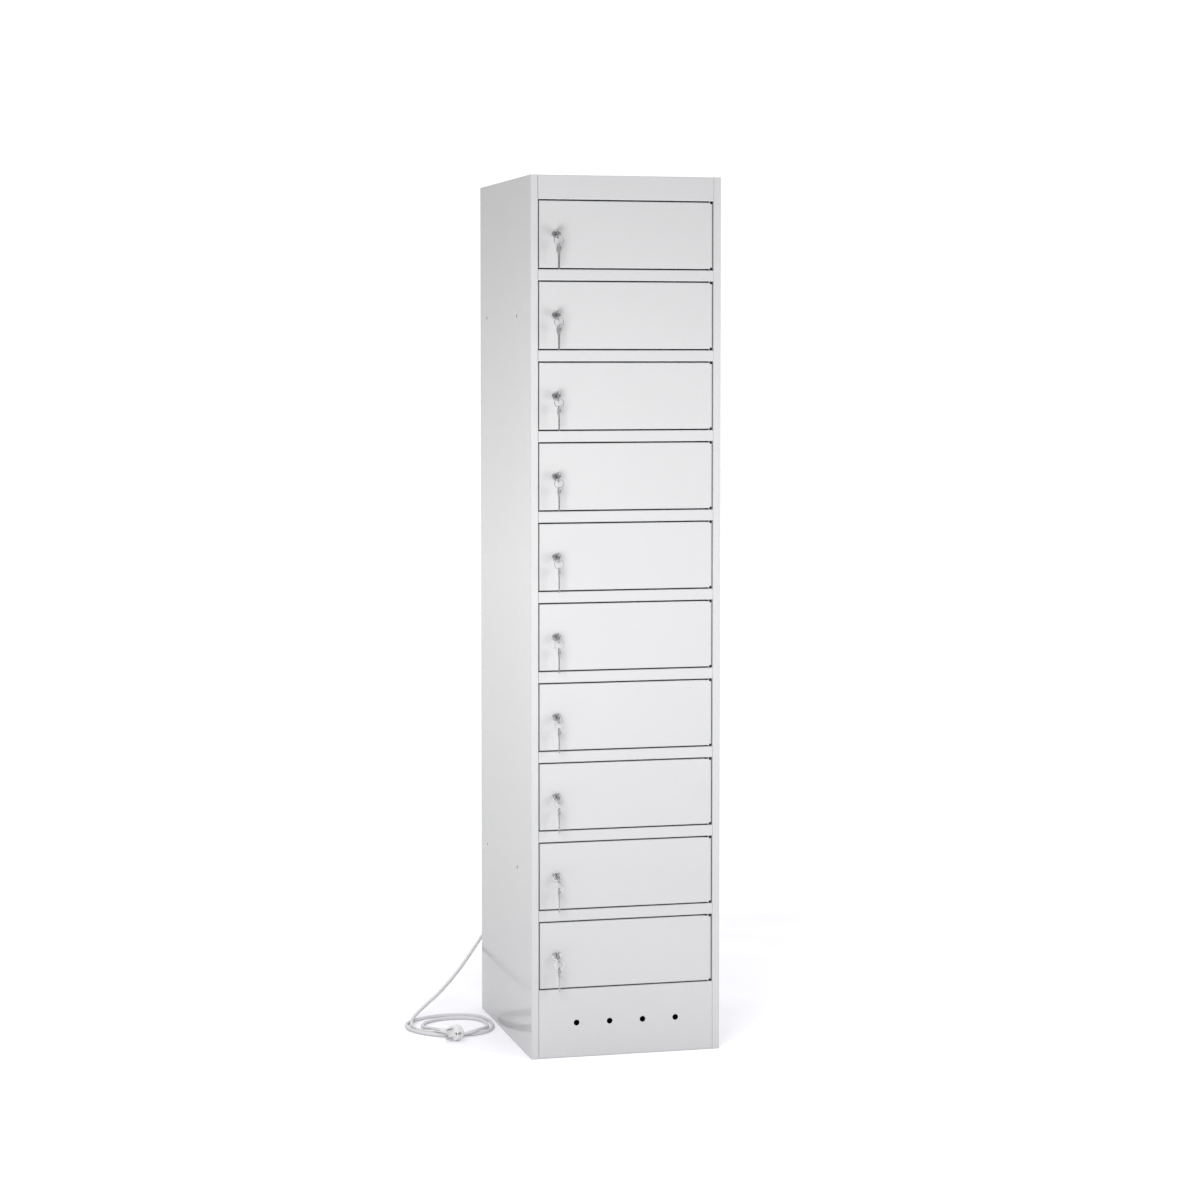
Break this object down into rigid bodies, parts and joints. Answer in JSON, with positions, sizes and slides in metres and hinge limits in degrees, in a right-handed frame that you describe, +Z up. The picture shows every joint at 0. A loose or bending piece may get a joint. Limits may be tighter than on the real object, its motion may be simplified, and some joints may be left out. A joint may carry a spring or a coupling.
{
  "type": "phone charging locker",
  "caption": "Tall narrow steel locker with a column of small inset doors, each with a key cam lock and an earthed outlet inside, vented plinth and a mains cord at the back",
  "frame": {"origin": "middle of the cabinet's base, on the floor", "axes": "+Z up, doors face -Y, +X towards the hinge side of the doors"},
  "size_m": [0.6001, 0.6224, 1.8],
  "materials": {
    "grey_powder_coat": "semi-gloss powder coat",
    "plated_steel": "zinc plated",
    "chrome_lock": "polished nickel-chrome",
    "nickel_key": "nickel plated",
    "white_moulding": "fine semi-gloss moulding",
    "gland_plastic": "matt moulded polyamide",
    "cord_sheath": "satin PVC sheath"
  },
  "bodies": {
    "cabinet": {"left_side": "grey_powder_coat", "right_side": "grey_powder_coat", "top_panel": "grey_powder_coat", "plinth_panel": "grey_powder_coat", "front_rails": "grey_powder_coat", "base_tray": "grey_powder_coat", "back_panel": "grey_powder_coat", "shelves": "grey_powder_coat", "service_wall": "grey_powder_coat", "hinge_pins": "plated_steel", "door_stops": "plated_steel", "rivets": "plated_steel", "power_sockets": "white_moulding", "socket_wiring": "white_moulding", "distribution_box": "white_moulding", "terminal_block": "white_moulding", "cable_gland": "gland_plastic", "mains_cord": "cord_sheath", "plug_body": "white_moulding", "plug_pins": "plated_steel"},
    "door_01": {"door_01": "grey_powder_coat", "lock_housing_01": "chrome_lock"},
    "lock_01": {"lock_core_01": "chrome_lock"},
    "keys_01": {"keys_01": "nickel_key"},
    "door_02": {"door_02": "grey_powder_coat", "lock_housing_02": "chrome_lock"},
    "lock_02": {"lock_core_02": "chrome_lock"},
    "keys_02": {"keys_02": "nickel_key"},
    "door_03": {"door_03": "grey_powder_coat", "lock_housing_03": "chrome_lock"},
    "lock_03": {"lock_core_03": "chrome_lock"},
    "keys_03": {"keys_03": "nickel_key"},
    "door_04": {"door_04": "grey_powder_coat", "lock_housing_04": "chrome_lock"},
    "lock_04": {"lock_core_04": "chrome_lock"},
    "keys_04": {"keys_04": "nickel_key"},
    "door_05": {"door_05": "grey_powder_coat", "lock_housing_05": "chrome_lock"},
    "lock_05": {"lock_core_05": "chrome_lock"},
    "keys_05": {"keys_05": "nickel_key"},
    "door_06": {"door_06": "grey_powder_coat", "lock_housing_06": "chrome_lock"},
    "lock_06": {"lock_core_06": "chrome_lock"},
    "keys_06": {"keys_06": "nickel_key"},
    "door_07": {"door_07": "grey_powder_coat", "lock_housing_07": "chrome_lock"},
    "lock_07": {"lock_core_07": "chrome_lock"},
    "keys_07": {"keys_07": "nickel_key"},
    "door_08": {"door_08": "grey_powder_coat", "lock_housing_08": "chrome_lock"},
    "lock_08": {"lock_core_08": "chrome_lock"},
    "keys_08": {"keys_08": "nickel_key"},
    "door_09": {"door_09": "grey_powder_coat", "lock_housing_09": "chrome_lock"},
    "lock_09": {"lock_core_09": "chrome_lock"},
    "keys_09": {"keys_09": "nickel_key"},
    "door_10": {"door_10": "grey_powder_coat", "lock_housing_10": "chrome_lock"},
    "lock_10": {"lock_core_10": "chrome_lock"},
    "keys_10": {"keys_10": "nickel_key"}
  },
  "joints": [
    {"name": "door_hinge_01", "type": "hinge", "parent": "cabinet", "child": "door_01", "pos_m": [0.1767, -0.2385, 1.6807], "axis": [0, 0, 1], "range_deg": [0, 95]},
    {"name": "lock_turn_01", "type": "hinge", "parent": "door_01", "child": "lock_01", "pos_m": [-0.147, -0.245, 1.6807], "axis": [0, 1, 0], "range_deg": [0, 90]},
    {"name": "keys_hang_01", "type": "hinge", "parent": "lock_01", "child": "keys_01", "pos_m": [-0.147, -0.2703, 1.6676], "axis": [0, 1, 0], "range_deg": [-90, 0]},
    {"name": "door_hinge_02", "type": "hinge", "parent": "cabinet", "child": "door_02", "pos_m": [0.1767, -0.2385, 1.5175], "axis": [0, 0, 1], "range_deg": [0, 95]},
    {"name": "lock_turn_02", "type": "hinge", "parent": "door_02", "child": "lock_02", "pos_m": [-0.147, -0.245, 1.5175], "axis": [0, 1, 0], "range_deg": [0, 90]},
    {"name": "keys_hang_02", "type": "hinge", "parent": "lock_02", "child": "keys_02", "pos_m": [-0.147, -0.2703, 1.5044], "axis": [0, 1, 0], "range_deg": [-90, 0]},
    {"name": "door_hinge_03", "type": "hinge", "parent": "cabinet", "child": "door_03", "pos_m": [0.1767, -0.2385, 1.3543], "axis": [0, 0, 1], "range_deg": [0, 95]},
    {"name": "lock_turn_03", "type": "hinge", "parent": "door_03", "child": "lock_03", "pos_m": [-0.147, -0.245, 1.3543], "axis": [0, 1, 0], "range_deg": [0, 90]},
    {"name": "keys_hang_03", "type": "hinge", "parent": "lock_03", "child": "keys_03", "pos_m": [-0.147, -0.2703, 1.3412], "axis": [0, 1, 0], "range_deg": [-90, 0]},
    {"name": "door_hinge_04", "type": "hinge", "parent": "cabinet", "child": "door_04", "pos_m": [0.1767, -0.2385, 1.1911], "axis": [0, 0, 1], "range_deg": [0, 95]},
    {"name": "lock_turn_04", "type": "hinge", "parent": "door_04", "child": "lock_04", "pos_m": [-0.147, -0.245, 1.1911], "axis": [0, 1, 0], "range_deg": [0, 90]},
    {"name": "keys_hang_04", "type": "hinge", "parent": "lock_04", "child": "keys_04", "pos_m": [-0.147, -0.2703, 1.178], "axis": [0, 1, 0], "range_deg": [-90, 0]},
    {"name": "door_hinge_05", "type": "hinge", "parent": "cabinet", "child": "door_05", "pos_m": [0.1767, -0.2385, 1.0279], "axis": [0, 0, 1], "range_deg": [0, 95]},
    {"name": "lock_turn_05", "type": "hinge", "parent": "door_05", "child": "lock_05", "pos_m": [-0.147, -0.245, 1.0279], "axis": [0, 1, 0], "range_deg": [0, 90]},
    {"name": "keys_hang_05", "type": "hinge", "parent": "lock_05", "child": "keys_05", "pos_m": [-0.147, -0.2703, 1.0148], "axis": [0, 1, 0], "range_deg": [-90, 0]},
    {"name": "door_hinge_06", "type": "hinge", "parent": "cabinet", "child": "door_06", "pos_m": [0.1767, -0.2385, 0.8647], "axis": [0, 0, 1], "range_deg": [0, 95]},
    {"name": "lock_turn_06", "type": "hinge", "parent": "door_06", "child": "lock_06", "pos_m": [-0.147, -0.245, 0.8647], "axis": [0, 1, 0], "range_deg": [0, 90]},
    {"name": "keys_hang_06", "type": "hinge", "parent": "lock_06", "child": "keys_06", "pos_m": [-0.147, -0.2703, 0.8516], "axis": [0, 1, 0], "range_deg": [-90, 0]},
    {"name": "door_hinge_07", "type": "hinge", "parent": "cabinet", "child": "door_07", "pos_m": [0.1767, -0.2385, 0.7015], "axis": [0, 0, 1], "range_deg": [0, 95]},
    {"name": "lock_turn_07", "type": "hinge", "parent": "door_07", "child": "lock_07", "pos_m": [-0.147, -0.245, 0.7015], "axis": [0, 1, 0], "range_deg": [0, 90]},
    {"name": "keys_hang_07", "type": "hinge", "parent": "lock_07", "child": "keys_07", "pos_m": [-0.147, -0.2703, 0.6884], "axis": [0, 1, 0], "range_deg": [-90, 0]},
    {"name": "door_hinge_08", "type": "hinge", "parent": "cabinet", "child": "door_08", "pos_m": [0.1767, -0.2385, 0.5383], "axis": [0, 0, 1], "range_deg": [0, 95]},
    {"name": "lock_turn_08", "type": "hinge", "parent": "door_08", "child": "lock_08", "pos_m": [-0.147, -0.245, 0.5383], "axis": [0, 1, 0], "range_deg": [0, 90]},
    {"name": "keys_hang_08", "type": "hinge", "parent": "lock_08", "child": "keys_08", "pos_m": [-0.147, -0.2703, 0.5252], "axis": [0, 1, 0], "range_deg": [-90, 0]},
    {"name": "door_hinge_09", "type": "hinge", "parent": "cabinet", "child": "door_09", "pos_m": [0.1767, -0.2385, 0.3751], "axis": [0, 0, 1], "range_deg": [0, 95]},
    {"name": "lock_turn_09", "type": "hinge", "parent": "door_09", "child": "lock_09", "pos_m": [-0.147, -0.245, 0.3751], "axis": [0, 1, 0], "range_deg": [0, 90]},
    {"name": "keys_hang_09", "type": "hinge", "parent": "lock_09", "child": "keys_09", "pos_m": [-0.147, -0.2703, 0.362], "axis": [0, 1, 0], "range_deg": [-90, 0]},
    {"name": "door_hinge_10", "type": "hinge", "parent": "cabinet", "child": "door_10", "pos_m": [0.1767, -0.2385, 0.2119], "axis": [0, 0, 1], "range_deg": [0, 95]},
    {"name": "lock_turn_10", "type": "hinge", "parent": "door_10", "child": "lock_10", "pos_m": [-0.147, -0.245, 0.2119], "axis": [0, 1, 0], "range_deg": [0, 90]},
    {"name": "keys_hang_10", "type": "hinge", "parent": "lock_10", "child": "keys_10", "pos_m": [-0.147, -0.2703, 0.1988], "axis": [0, 1, 0], "range_deg": [-90, 0]}
  ],
  "couplings": [
    {"joint": "keys_hang_01", "follows": "lock_turn_01", "ratio": -1},
    {"joint": "keys_hang_02", "follows": "lock_turn_02", "ratio": -1},
    {"joint": "keys_hang_03", "follows": "lock_turn_03", "ratio": -1},
    {"joint": "keys_hang_04", "follows": "lock_turn_04", "ratio": -1},
    {"joint": "keys_hang_05", "follows": "lock_turn_05", "ratio": -1},
    {"joint": "keys_hang_06", "follows": "lock_turn_06", "ratio": -1},
    {"joint": "keys_hang_07", "follows": "lock_turn_07", "ratio": -1},
    {"joint": "keys_hang_08", "follows": "lock_turn_08", "ratio": -1},
    {"joint": "keys_hang_09", "follows": "lock_turn_09", "ratio": -1},
    {"joint": "keys_hang_10", "follows": "lock_turn_10", "ratio": -1}
  ]
}
